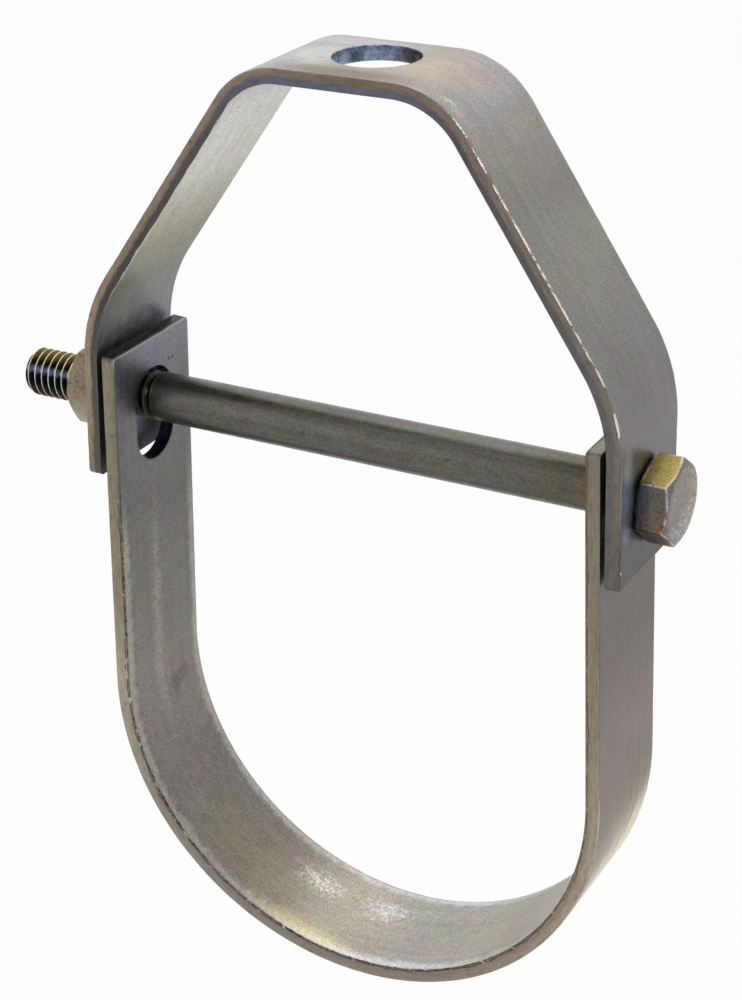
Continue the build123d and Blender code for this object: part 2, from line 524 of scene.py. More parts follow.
@dataclass
class UpperYoke:
    """The yoke: a flat plate with the rod hole, two sloping sides and two legs with the bolt's holes.

    Each side gives how far out its shoulder and its leg's end are, and the radius of its bend at the plate.
    """

    bolt: Vector
    width: float
    leg_end: float = 13.05 * MM
    shoulder_height: float = 19.8 * MM
    shoulder_radius: float = 32.4 * MM
    nut_side: tuple[float, float, float] = (54.05 * MM, 55.25 * MM, 15.2 * MM)
    head_side: tuple[float, float, float] = (54.45 * MM, 54.95 * MM, 17.0 * MM)
    plate_half_length: float = 19.4 * MM
    bolt_hole_radius: float = 5.16 * MM
    bolt_hole_patch: float = 8.6 * MM
    rod_hole_patch: float = 10.2 * MM

    def side_view(self, plate: float) -> SideView:
        """Turn the outer corners and their bend radii into straight runs and arcs.

        Args:
            plate: The plate's thickness.

        Returns:
            The side view, from the end at the nut to the end at the head.
        """
        shift, top = -self.bolt.x, -self.bolt.z + plate
        corners = np.array([
            (-self.nut_side[1], -self.leg_end),
            (-self.nut_side[0], self.shoulder_height),
            (shift - self.plate_half_length, top),
            (shift + self.plate_half_length, top),
            (self.head_side[0], self.shoulder_height),
            (self.head_side[1], -self.leg_end),
        ])
        radii = np.array([self.shoulder_radius, self.nut_side[2], self.head_side[2], self.shoulder_radius])
        steps = np.diff(corners, axis=0)
        aims = np.unwrap(np.arctan2(steps[:, 1], steps[:, 0]))
        turns = np.diff(aims)
        cut = radii * np.tan(np.abs(turns) / 2)
        straight = np.hypot(*steps.T) - np.concatenate([[0], cut]) - np.concatenate([cut, [0]])
        runs = [(straight[0], 0.0)]
        for radius, turn, length in zip(radii, turns, straight[1:]):
            runs += [(radius * abs(turn), np.degrees(turn)), (length, 0.0)]
        start = (corners[0, 0] + self.bolt.x, corners[0, 1] + self.bolt.z)
        return SideView(start, np.degrees(aims[0]), tuple(runs), -1.0)

    def strip(self) -> BentStrip:
        """Lay out the yoke's blank, its three holes and its edges.

        Returns:
            The strip, ready to build.
        """
        rod_hole = mount("rod_hole")["dims"]
        thickness = rod_hole["length_mm"] * MM
        side = self.side_view(thickness)
        # The rod hole is in the plate's flat run, which starts where the bend's tangent length ends
        flat_start = sum(length for length, _ in side.runs[:4])
        tangent = self.nut_side[2] * math.tan(abs(math.radians(side.runs[3][1])) / 2)
        head_lean = math.atan2(self.head_side[1] - self.head_side[0], self.shoulder_height + self.leg_end)
        nut_lean = math.radians(90 - side.heading)
        leg_hole = {"across": 0.0, "radius": self.bolt_hole_radius, "straight": 0.0, "patch": self.bolt_hole_patch}
        holes = (
            Punch(self.leg_end / math.cos(nut_lean), **leg_hole),
            Punch(flat_start + self.plate_half_length - tangent, -self.bolt.y, rod_hole["r_mm"] * MM, 0.0,
                  self.rod_hole_patch),
            Punch(side.length - self.leg_end / math.cos(head_lean), **leg_hole),
        )
        edge = ShearedEdge(inset=1.0 * MM, roll_width=0.40 * MM, roll_depth=0.26 * MM, land=0.42, draw=0.05 * MM,
                           foot=0.06 * MM)
        return BentStrip("yoke_strip", side, self.width, thickness, self.bolt.y, holes, edge, seed=1.7)


@dataclass
class LowerStrap:
    """The strap: a half round under the pipe and two legs, each with a long slot for the bolt."""

    bolt: Vector
    width: float
    thickness: float = 3.0 * MM
    half_width: float = 50.85 * MM
    top: float = 12.0 * MM
    slot_radius: float = 6.35 * MM
    slot_length: float = 19.05 * MM
    slot_above_bolt: float = 5.8 * MM
    slot_patch: float = 12.9 * MM

    def strip(self) -> BentStrip:
        """Lay out the strap's blank, its two slots and its edges.

        Each leg is a straight tangent to the half round from its top's outer corner.

        Returns:
            The strip, ready to build.
        """
        seat = mount("pipe_seat")
        radius = seat["dims"]["r_mm"] * MM + self.thickness
        drop = self.bolt.z - seat["pos_m"][2]
        lean = math.asin(radius / math.hypot(self.half_width, drop)) - math.atan2(self.half_width, drop)
        touch = Vector((radius * math.cos(lean), -drop + radius * math.sin(lean)))
        leg = (self.top - touch.y) / math.cos(lean)
        turn = 180 + 2 * math.degrees(lean)
        start = (-touch.x + (self.top - touch.y) * math.tan(lean) + seat["pos_m"][0], self.top + self.bolt.z)
        runs = ((leg, 0.0), (radius * math.radians(turn), turn), (leg, 0.0))
        side = SideView(start, -90 - math.degrees(lean), runs, 1.0)
        middle = (self.top - self.slot_above_bolt + self.slot_length / 2) / math.cos(lean)
        straight = self.slot_length / 2 - self.slot_radius
        holes = tuple(Punch(place, 0.0, self.slot_radius, straight, self.slot_patch)
                      for place in (middle, side.length - middle))
        edge = ShearedEdge(inset=1.0 * MM, roll_width=0.15 * MM, roll_depth=0.12 * MM, land=0.40, draw=0.05 * MM,
                           foot=0.14 * MM, groove=0.12 * MM)
        return BentStrip("strap_strip", side, self.width, self.thickness, self.bolt.y, holes, edge, seed=4.2,
                         droop=0.22 * MM)


# The bolt and the nut

BEVEL_SLOPE = math.tan(math.radians(30))


@dataclass(frozen=True)
class Hexagon:
    """A hexagon round the bolt's axis, with its corners a little blunted."""

    turn: float
    across_flats: float = 14.29 * MM
    blunt: float = 0.10 * MM

    @property
    def face_radius(self) -> float:
        """The radius of the circle at which the end face's bevel starts."""
        return 0.475 * self.across_flats

    @property
    def angles(self) -> Array:
        """Directions round the axis from Y towards Z, closer together at the corners, in radians."""
        sector = np.array([0, 0.5, 1.2, 2.4, 4.5, 8, 12, 17, 23, 30, 37, 43, 48, 52, 55.5, 57.6, 58.8, 59.5])
        return np.radians((self.turn + np.add.outer(60 * np.arange(6), sector)).ravel())

    def reach(self, angle: Array) -> Array:
        """Find the distance from the axis to the flats: half the width over the cosine, held back near the corners.

        Args:
            angle: Directions in radians.

        Returns:
            The distance in each.
        """
        off = (np.degrees(angle) - self.turn) % 60 - 30
        sharp = self.across_flats / 2 / np.cos(np.radians(off))
        cap = self.across_flats / 2 / math.cos(math.radians(30)) - self.blunt
        blend = np.clip(0.5 + (cap - sharp) / (4 * self.blunt), 0, 1)
        return cap + (sharp - cap) * blend - 2 * self.blunt * blend * (1 - blend)


@dataclass(frozen=True)
class Thread:
    """A right-hand screw thread with straight flanks, narrow crests and rounded roots."""

    pitch: float
    origin: float
    radius: float = 4.72 * MM
    crest_end: float = 0.045
    root_start: float = 0.42

    @property
    def depth(self) -> float:
        """Crest to root."""
        return 0.6134 * self.pitch

    def phases(self) -> Array:
        """Give the shares of a pitch, from a crest's middle, at which the section has its points."""
        half = np.array([0, 0.04, 0.06, 0.15, 0.245, 0.34, 0.40, 0.45])
        return np.concatenate([half, [0.5], 1 - half[:0:-1]])

    def lines(self, low: float, high: float, angle: Array) -> Array:
        """Place the thread's lines along the axis, each one a helix that moves one pitch a turn.

        Args:
            low: Where the thread ends.
            high: Where it begins.
            angle: Directions round the axis in radians, rising.

        Returns:
            Places along the axis as lines by directions, held between low and high.
        """
        first, last = ((end - self.origin) / self.pitch for end in (low, high))
        turns = np.arange(math.floor(first) - 1, math.ceil(last) + 1)
        starts = self.origin + self.pitch * np.add.outer(turns, self.phases()).ravel()
        return np.clip(starts[:, None] + self.pitch * angle / (2 * np.pi), low, high)

    def groove(self, place: Array, angle: Array) -> Array:
        """Work out the depth below the crest: level on the crest, even down the flank and rounded at the root.

        Args:
            place: Places along the axis.
            angle: Directions round it in radians.

        Returns:
            The depth at each.
        """
        share = ((place - self.origin) / self.pitch - angle / (2 * np.pi)) % 1
        off = 0.5 - np.abs(share - 0.5)
        fall = np.clip((off - self.crest_end) / (self.root_start - self.crest_end), 0, 1)
        return self.depth * (fall - 0.06 * np.sin(np.pi * fall) ** 8)


def column(*values: float) -> Array:
    """Stack numbers as rows, to be spread over the directions round an axis."""
    return np.array(values)[:, None]


@dataclass
class Section:
    """A turned piece's section, row by row, at each direction round its axis from Y towards Z."""

    angle: Array
    parts: list[tuple[Array, Array]] = field(default_factory=list)

    def add(self, place: Array | float, reach: Array | float) -> None:
        """Add one or more rows, given by their places along the axis and their distances from it."""
        place, reach, _ = np.broadcast_arrays(place, reach, self.angle)
        self.parts.append((np.atleast_2d(place), np.atleast_2d(reach)))

    def rows(self) -> tuple[Array, Array]:
        """Give all the places and all the distances, as rows by directions."""
        return tuple(np.concatenate(values) for values in zip(*self.parts))

    def turned(self, axis: Vector) -> Array:
        """Carry the rows round the axis: place along X, distance times cosine along Y and times sine along Z.

        Args:
            axis: A point on the axis.

        Returns:
            The points row by row.
        """
        place, reach = self.rows()
        points = [place + axis.x, reach * np.cos(self.angle) + axis.y, reach * np.sin(self.angle) + axis.z]
        return np.stack(points, -1).reshape(-1, 3)


@dataclass
class CrossBolt:
    """The hex bolt: head with a bevelled face and a washer face, plain shank and rolled thread.

    Its finish needs to know which rows are which: the face has the first few, and the flats begin at the rim. The
    head's last rows are those from the washer face on, and the last of these are the neck's.
    """

    axis: Vector
    thread: Thread
    hexagon: Hexagon
    far_end: float
    end: float
    shank_end: float = -45.4 * MM
    shank_radius: float = 4.7625 * MM
    head_height: float = 6.1 * MM
    washer_face: float = 0.4 * MM
    round_off: float = 0.16 * MM
    dish: float = 0.10 * MM
    end_bevel: float = 0.9 * MM
    runout: float = 1.6
    shank_rows: int = 40
    face_rows: int = 6
    rim_row: int = 12
    washer_rows: int = 6
    neck_rows: int = 3
    tip_rows: int = 4

    @property
    def seat(self) -> float:
        """Where the head bears on the yoke."""
        return self.far_end - self.head_height

    def head(self, section: Section) -> None:
        """Add the head's rows, from the middle of its end face to the shank.

        The end face is a shallow dish, the bevel falls by the distance beyond the face's circle times the bevel's
        tangent, and the flats run down to the washer face.

        Args:
            section: The section that they go to.
        """
        face, flat = self.hexagon.face_radius, self.hexagon.reach(section.angle)
        top, under = self.far_end, self.seat + self.washer_face
        share = column(0.0, 0.25, 0.5, 0.75, 0.9)
        section.add(top - self.dish * np.cos(share * np.pi / 2), share * face)
        section.add(top - column(0.01, 0.05) * MM, face + column(-0.12, 0.08) * MM)
        width = flat - self.round_off - face
        share = column(0.35, 0.7)
        section.add(top - BEVEL_SLOPE * share * width, face + share * width)
        swing = np.radians(column(0, 20, 40, 60))
        fall = self.round_off * (1.2 * (1 - np.cos(swing)) + 0.3 * np.sin(swing))
        edge = top - BEVEL_SLOPE * width - fall
        section.add(edge, flat - self.round_off * (1 - np.sin(swing)))
        share = column(0.08, 0.3, 0.6, 0.9)
        section.add(edge[-1] * (1 - share) + share * (under + 0.15 * MM), flat)
        section.add(under + column(0.04, 0.0) * MM, flat - column(0.04, 0.18) * MM)
        section.add(under - column(0.0, 0.03) * MM, face + column(0.1, 0.0) * MM)
        section.add(self.seat, column(face, self.shank_radius + 0.3 * MM))
        section.add(self.seat - column(0.1, 0.4) * MM, self.shank_radius + column(0.08, 0.0) * MM)

    def tags(self, section: Section, head_rows: int) -> dict[str, Array]:
        """Name the bolt's places for its finish.

        Args:
            section: All its rows.
            head_rows: How many of them are the head's.

        Returns:
            The named values at each point.
        """
        reach = section.rows()[1]
        rows = np.repeat(np.arange(len(reach)), section.angle.size)
        around = np.degrees(section.angle) - self.hexagon.turn
        flat = np.tile(around // 60, len(reach)).astype(int)
        above_washer = rows < head_rows - self.washer_rows
        side = (rows >= self.rim_row) & above_washer
        # The second flat is tinted gold, partly as a painted warm highlight. Its two corners and its foot are
        # burnished bright and partly painted highlight
        gold_and_highlight = flat == 1
        corner = np.tile(np.minimum(np.abs(around - 60), np.abs(around - 120)), len(reach))
        foot = np.isin(rows, head_rows - self.washer_rows - np.array([2, 1])) & gold_and_highlight
        tags = {
            "head": rows < head_rows - self.neck_rows,
            "side": side,
            "face": rows < self.face_rows,
            "rim": np.isin(rows, self.rim_row - np.arange(3)),
            "corner": np.maximum(np.clip(1.3 - corner / 1.2, 0, 1) * side, foot),
            "gold_and_highlight": (rows >= self.rim_row - 2) & above_washer & gold_and_highlight,
            "shade": side * np.array([0.6, 0.0, 0.25, 0.75, 0.5, 0.5])[flat],
            "crest": (1 - np.clip((self.thread.radius - reach) / self.thread.depth, 0, 1)).ravel(),
            "threaded": (rows >= head_rows + self.shank_rows) & (rows < len(reach) - self.tip_rows),
        }
        return {name: values.astype(float) for name, values in tags.items()}

    def build(self) -> bpy.types.Object:
        """Make the bolt as one closed skin, from the middle of its head to the middle of its other end.

        Returns:
            The finished piece, riding nowhere yet.
        """
        section = Section(self.hexagon.angles)
        self.head(section)
        head_rows = len(section.rows()[0])
        share = np.linspace(0.03, 1, self.shank_rows)[:, None]
        section.add(self.seat * (1 - share) + self.shank_end * share, self.shank_radius)
        helix = self.thread.lines(self.end, self.shank_end, section.angle)[::-1]
        fade = np.clip((self.shank_end - helix) / (self.runout * self.thread.pitch), 0, 1)
        crest = self.shank_radius + (self.thread.radius - self.shank_radius) * fade
        wall = crest - self.thread.groove(helix, section.angle) * fade
        tip = self.thread.radius - self.end_bevel
        section.add(helix, np.minimum(wall, tip + helix - self.end))
        share = column(0.97, 0.8, 0.5, 0.0)
        section.add(self.end + 0.4 * MM * (1 - share) * share, tip * share)
        quads = ring_quads(len(section.rows()[0]), section.angle.size, close_columns=True)
        skin = Skin(section.turned(self.axis), quads, self.tags(section, head_rows))
        return build_piece("bolt_with_thread", *skin.welded(), crease=35)


@dataclass
class HexNut:
    """The nut: six flats, both faces bevelled, and a threaded bore that opens at both ends."""

    axis: Vector
    thread: Thread
    hexagon: Hexagon
    near: float
    far: float
    clearance: float = 0.06 * MM
    countersink: float = 0.55 * MM
    round_off: float = 0.25 * MM
    first_step: float = 0.05 * MM

    def bevel(self, angle: Array) -> tuple[Array, Array]:
        """Work out the rows from a face's circle over the bevel to the flats.

        The bevel falls by the distance beyond the face's circle times the bevel's tangent, and ends in an arc.

        Args:
            angle: Directions round the axis.

        Returns:
            Distances below the face and from the axis, as rows by directions.
        """
        rows, flat = Section(angle), self.hexagon.reach(angle)
        width = flat - self.round_off - self.hexagon.face_radius
        share = column(0.0, 0.5, 0.9)
        rows.add(BEVEL_SLOPE * share * width + self.first_step, self.hexagon.face_radius + share * width)
        swing = np.radians(column(25, 50, 75))
        fall = self.round_off * (1.2 * (1 - np.cos(swing)) + 0.2 * np.sin(swing))
        rows.add(BEVEL_SLOPE * width + self.first_step + fall, flat - self.round_off * (1 - np.sin(swing)))
        return rows.rows()

    def build(self) -> bpy.types.Object:
        """Make the nut as one closed ring: along the bore, over one face, along the flats and over the other.

        Returns:
            The finished piece, riding nowhere yet.
        """
        section = Section(self.hexagon.angles)
        helix = self.thread.lines(self.far, self.near, section.angle)[::-1]
        bore = self.thread.radius + self.clearance - self.thread.groove(helix, section.angle)
        mouth = self.thread.radius + self.countersink
        section.add(helix, np.maximum(bore, mouth - np.minimum(self.near - helix, helix - self.far)))
        face = mouth + column(0.2, 0.6, 0.94) * (self.hexagon.face_radius - mouth)
        fall, reach = self.bevel(section.angle)
        section.add(self.far, face)
        section.add(self.far + fall, reach)
        section.add(self.far + column(0.35, 0.5, 0.65) * (self.near - self.far), self.hexagon.reach(section.angle))
        section.add(self.near - fall[::-1], reach[::-1])
        section.add(self.near, face[::-1])
        rows = len(section.rows()[0])
        around = np.degrees(section.angle) - self.hexagon.turn
        tags = {"bore": np.repeat((np.arange(rows) < len(helix)).astype(float), around.size),
                "flat": np.tile(around // 60, rows)}
        quads = ring_quads(rows, around.size, close_rows=True, close_columns=True)
        skin = Skin(section.turned(self.axis), quads, tags)
        return build_piece("nut_with_thread", *skin.welded(), crease=35)


# Finishes


class Graph:
    """A tree of nodes, with short calls for the ones that the finishes and the studio share."""

    def __init__(self, owner: bpy.types.Material | bpy.types.World) -> None:
        """Start on a material's or a world's own tree."""
        owner.use_nodes = True
        self.owner, self.tree = owner, owner.node_tree

    def set(self, node: bpy.types.Node, inputs: dict) -> None:
        """Fill a node's sockets.

        Args:
            node: The node.
            inputs: What goes into its sockets, by name or number: a value or another node's output.
        """
        for key, value in inputs.items():
            socket = node.inputs[key]
            if isinstance(value, Socket):
                self.tree.links.new(value, socket)
            else:
                socket.default_value = (*value, 1.0) if socket.type == "RGBA" else value

    def node(self, kind: str, inputs: dict | None = None, **settings: object) -> bpy.types.Node:
        """Add a node.

        Args:
            kind: The node's type, without its first word.
            inputs: What goes into its sockets.
            settings: The node's own properties.

        Returns:
            The node.
        """
        made = self.tree.nodes.new("ShaderNode" + kind)
        for key, value in settings.items():
            setattr(made, key, value)
        self.set(made, inputs or {})
        return made

    def tag(self, name: str, output: str = "Fac") -> Socket:
        """Read one of the piece's own named values."""
        return self.node("Attribute", attribute_name=name).outputs[output]

    def parts(self, vector: Socket) -> tuple[Socket, ...]:
        """Part a vector into its three numbers."""
        return tuple(self.node("SeparateXYZ", {"Vector": vector}).outputs)

    def place(self, name: str = "", scale: Sequence[float] = (1, 1, 1), shift: Sequence[float] = (0, 0, 0)) -> Socket:
        """Give a position on the piece.

        Args:
            name: The named vector to read, or nothing for the object's own axes.
            scale: What it is multiplied by. Where the first number is small, a pattern runs along the piece.
            shift: What is then added.

        Returns:
            The position.
        """
        source = self.tag(name, "Vector") if name else self.node("TexCoord").outputs["Object"]
        return self.node("Mapping", {"Vector": source, "Scale": scale, "Location": shift}).outputs["Vector"]

    def noise(self, where: Socket, scale: float, detail: float = 3.0, rough: float = 0.55, warp: float = 0.0,
              output: str = "Fac") -> Socket:
        """Add clouds.

        Args:
            where: The position.
            scale: Their fineness, in cells per metre.
            detail: How many finer layers they have.
            rough: How strong the finer layers are.
            warp: How far the clouds are stirred.
            output: "Color" for three clouds at once.

        Returns:
            Values that mostly lie within CLOUDS.
        """
        inputs = {"Vector": where, "Scale": scale, "Detail": detail, "Roughness": rough, "Distortion": warp}
        return self.node("TexNoise", inputs).outputs[output]

    def span(self, value: Socket, low: float, high: float, to_low: float = 0.0, to_high: float = 1.0) -> Socket:
        """Map a range of values to another, held at both ends."""
        inputs = {"Value": value, "From Min": low, "From Max": high, "To Min": to_low, "To Max": to_high}
        return self.node("MapRange", inputs, clamp=True).outputs["Result"]

    def sum(self, kind: str, *values: Socket | float) -> Socket:
        """Do one sum on one or two values."""
        return self.node("Math", dict(enumerate(values)), operation=kind).outputs["Value"]

    def product(self, *values: Socket | float) -> Socket:
        """Multiply several values."""
        return reduce(partial(self.sum, "MULTIPLY"), values)

    def total(self, *values: Socket | float) -> Socket:
        """Add several values."""
        return reduce(partial(self.sum, "ADD"), values)

    def uneven(self, base: Socket | float, *swings: tuple[Socket, float]) -> Socket:
        """Let a value swing about a base, by so much either way with each of several clouds."""
        return self.total(base, *(self.span(cloud, *CLOUDS, -amount, amount) for cloud, amount in swings))

    def mix(self, share: Socket | float, first: Socket | Colour, second: Socket | Colour, kind: str = "MIX") -> Socket:
        """Mix two colours."""
        return self.node("Mix", {0: share, 6: first, 7: second}, data_type="RGBA", blend_type=kind).outputs[2]

    def over(self, tone: Socket | Colour, colour: Socket | Colour, *shares: Socket | float) -> Socket:
        """Lay a colour over a tone, by the product of some shares."""
        return self.mix(self.product(*shares), tone, colour)

    def ramp(self, value: Socket, length: float, stops: Stops, unit: float = MM) -> tuple[Socket, Socket]:
        """Run through colours along a line.

        Args:
            value: The distance along the line, in metres.
            length: The line's length, in units.
            stops: Each stop's place in units, its red, green and blue from 0 to 255, and its amount where it isn't 1.
            unit: The unit, in metres.

        Returns:
            The colour and the amount.
        """
        made = self.node("ValToRGB", {"Fac": self.sum("DIVIDE", value, length * unit)})
        elements = made.color_ramp.elements
        for index, (place, red, green, blue, *amount) in enumerate(stops):
            # A new ramp has its first and last stop already
            known = {0: 0, len(stops) - 1: -1}
            element = elements[known[index]] if index in known else elements.new(place / length)
            element.position = place / length
            element.color = (*srgb(red, green, blue), amount[0] if amount else 1.0)
        return made.outputs["Color"], made.outputs["Alpha"]

    def tinted(self, colour: Socket, where: Socket, scale: float, amount: float) -> Socket:
        """Let each of a colour's parts wander by itself, as under an uneven film."""
        return self.mix(amount, colour, self.noise(where, scale, 4.0, 0.65, output="Color"), "OVERLAY")

    def shaded(self, colour: Socket, value: Socket) -> Socket:
        """Make a colour lighter or darker by a factor."""
        return self.node("HueSaturation", {"Color": colour, "Value": value}).outputs["Color"]

    def finish(self, colour: Socket, rough: Socket, height: Socket, relief: float, metallic: float,
               coat: float = 0.0) -> bpy.types.Material:
        """Join a finish to the shader.

        Args:
            colour: The steel's colour.
            rough: Its roughness.
            height: Its relief, from 0 to 1.
            relief: The relief's depth.
            metallic: How bare the steel is.
            coat: How much an oil film over it shows.

        Returns:
            The material.
        """
        bump = self.node("Bump", {"Height": height, "Distance": relief, "Strength": 1.0})
        self.set(self.tree.nodes["Principled BSDF"], {
            "Base Color": colour, "Roughness": rough, "Normal": bump.outputs["Normal"], "Metallic": metallic,
            "Coat Weight": coat, "Coat Roughness": 0.28})
        return self.owner


@dataclass(frozen=True)
class Mark:
    """A soft patch on a strip's outer or inner face: its middle and reach both ways in millimetres, and its tone.

    Its speckles have a fineness in cells per metre, cover less where sparse is higher, and can run along the strip.
    Some marks are painted highlights, painted reflections and a painted glint.
    """

    inner: bool
    along: float
    across: float
    length: float
    width: float
    tone: tuple[int, int, int]
    amount: float
    fineness: float = 300.0
    sparse: float = 0.3
    stretch: float = 1.0


@dataclass(frozen=True)
class StripFinish:
    """Oiled hot-rolled strip: tones that wander along it, mill streaks, mottled scale, marks and two-toned edges.

    The tones are those of the outer and inner face, of the cut edge's two halves (rim), of its corners (lip), of the
    crack above its foot, of the inner face's margin and of the holes' walls. Places along the strip are in
    millimetres from the end at the nut. The tones along the faces are partly the steel's own and partly painted
    light and shade. The pale corners, the pale margin and the rod hole's blue band are painted highlights and
    reflections. The dark crack, the slot walls and the strap's dark end are painted shade.
    """

    name: str
    length: float
    thickness: float
    half_width: float
    seed: float
    tones: dict[str, Stops]
    marks: tuple[Mark, ...]
    pit_tone: Colour = srgb(52, 46, 42)
    fleck_tone: Colour = srgb(58, 46, 40)
    glint_tone: Colour = srgb(236, 234, 226)

    def _marked(self, g: Graph, tone: Socket, inner: Socket) -> Socket:
        """Lay the marks over a face's tone.

        A mark's share is one less the distance from its middle, counted in its own reaches, times its speckles, which
        thin out the same way.

        Args:
            g: The finish's nodes.
            tone: The face's tone.
            inner: 1 on the inner face and 0 on the outer.

        Returns:
            The tone with its marks.
        """
        for mark in self.marks:
            reach, middle = np.array([mark.length, mark.width]), np.array([mark.along, mark.across])
            where = g.place("blank", (*(1 / (reach * MM)), 0), (*(-middle / reach), 0))
            away = g.node("VectorMath", {0: where}, operation="LENGTH").outputs["Value"]
            speckles = g.noise(g.place("blank", (mark.stretch, 1, 1)), mark.fineness, 4.0, 0.7, 0.6)
            speckles = g.total(speckles, g.span(away, 0.0, 1.0, 0.08, -0.14))
            speckles = g.span(speckles, mark.sparse, mark.sparse + 0.18)
            side = inner if mark.inner else g.sum("SUBTRACT", 1.0, inner)
            tone = g.over(tone, srgb(*mark.tone), g.span(away, 1.0, 0.35), speckles, side, mark.amount)
        return tone

    def material(self) -> bpy.types.Material:
        """Build the finish's nodes.

        Returns:
            The material.
        """
        g = Graph(bpy.data.materials.new(self.name))
        blank = g.tag("blank", "Vector")
        along, across, depth = g.parts(blank)
        tones = {name: g.ramp(along, self.length, stops) for name, stops in self.tones.items()}
        cloud = g.noise(blank, 34.0 + self.seed, 4.0, 0.6, 0.8)
        mottle = g.noise(blank, 430.0, 4.0, 0.6, 0.3)
        grain = g.noise(blank, 2900.0, 3.0, 0.75)
        streak = g.noise(g.place("blank", (0.04, 1, 1)), 620.0, 3.0, 0.6, 0.3)
        # Faces
        inner = g.span(depth, 0.45 * self.thickness, 0.55 * self.thickness)
        face = g.mix(inner, tones["outer"][0], tones["inner"][0])
        edgeward = g.sum("SUBTRACT", g.sum("ABSOLUTE", across), self.half_width)
        # The inner face's margin, paler on the strap as a painted highlight along its drooping edges
        band = g.span(g.uneven(edgeward, (mottle, 0.5 * MM)), -2.6 * MM, -1.3 * MM)
        face = g.over(face, tones["margin"][0], tones["margin"][1], band, inner)
        face = self._marked(g, face, inner)
        face = g.tinted(face, blank, 120.0, 0.13)
        face = g.tinted(face, g.place("blank", shift=(0.3, 0.2, 0.1)), 640.0, 0.17)
        face = g.shaded(face, g.uneven(1.0, (cloud, 0.12), (mottle, 0.10), (grain, 0.38), (streak, 0.07)))
        pits = g.noise(g.place("blank", shift=(0.1, 0.5, 0.2)), 1150.0, 2.0, 0.5)
        face = g.over(face, self.pit_tone, g.span(pits, 0.65, 0.72), g.span(cloud, 0.46, 0.60), 0.45)
        # Cut edges, and the holes' walls
        ragged = g.total(g.uneven(depth, (cloud, 0.25 * MM)), g.span(mottle, 0.25, 0.75, -0.30 * MM, 0.30 * MM))
        torn = g.span(ragged, 0.42 * self.thickness, 0.62 * self.thickness)
        cut = g.tinted(g.mix(torn, tones["rim_outer"][0], tones["rim_inner"][0]), blank, 500.0, 0.16)
        scores = g.noise(g.place("blank", (0.16, 1, 1)), 1900.0, 4.0, 0.75)
        cut = g.shaded(cut, g.uneven(1.0, (scores, 0.24), (mottle, 0.06), (cloud, 0.08)))
        flecks = g.span(g.noise(blank, 760.0, 3.0, 0.7), 0.62, 0.70)
        cut = g.over(cut, self.fleck_tone, flecks, 0.4)
        punched, wall, lip = g.tag("punched"), g.tag("wall"), g.tag("lip")
        # The holes' walls, mottled lighter and darker, the lighter patches partly painted highlights
        level = g.total(g.uneven(0.65, (grain, 0.45)), g.span(mottle, 0.35, 0.65, -0.1, 0.8))
        cut = g.mix(punched, cut, g.shaded(g.tinted(tones["punched"][0], blank, 900.0, 0.5), level))
        tone = g.mix(g.span(wall, 0.2, 0.6), face, cut)
        # Corners: burnished and partly painted highlight outside, seamed inside, and cracked above the foot
        broken = g.noise(blank, 230.0, 4.0, 0.7, 0.5)
        burnish_and_highlight = g.product(g.span(lip, 0.12, 0.5), g.span(broken, 0.45, 0.52), g.span(across, 0.0, -1.0 * MM))
        burnish_and_highlight = g.product(burnish_and_highlight, tones["lip_outer"][1])
        tone = g.mix(burnish_and_highlight, tone, tones["lip_outer"][0])
        # Along the inner corner: a painted highlight on the yoke, and a line of painted shade on the strap
        seam = g.product(g.span(lip, -0.2, -0.7), g.span(lip, -1.6, -1.1), g.span(broken, 0.30, 0.42))
        tone = g.over(tone, *tones["lip_inner"], seam)
        # Painted shade darkens the crack, and painted glints dot it
        ripped = g.uneven(lip, (g.noise(blank, 900.0, 3.0, 0.7), -0.6))
        crack = g.product(g.span(ripped, -0.5, -1.1), tones["crack"][1], g.span(lip, 0.0, -0.3))
        tone = g.mix(crack, tone, tones["crack"][0])
        tone = g.over(tone, self.glint_tone, crack, g.span(g.noise(blank, 600.0, 2.0, 0.6), 0.60, 0.64), 0.8)
        rough = g.span(g.total(mottle, g.product(cloud, 0.5)), 0.45, 1.05, 0.34, 0.52)
        rough = g.total(rough, g.product(burnish_and_highlight, -0.12), g.product(punched, wall, -0.14))
        height = g.total(g.product(mottle, 0.4), g.product(grain, 0.35), g.product(streak, 0.2),
                         g.product(scores, wall, 0.8))
        return g.finish(tone, rough, height, 0.06 * MM, 1.0, 0.25)


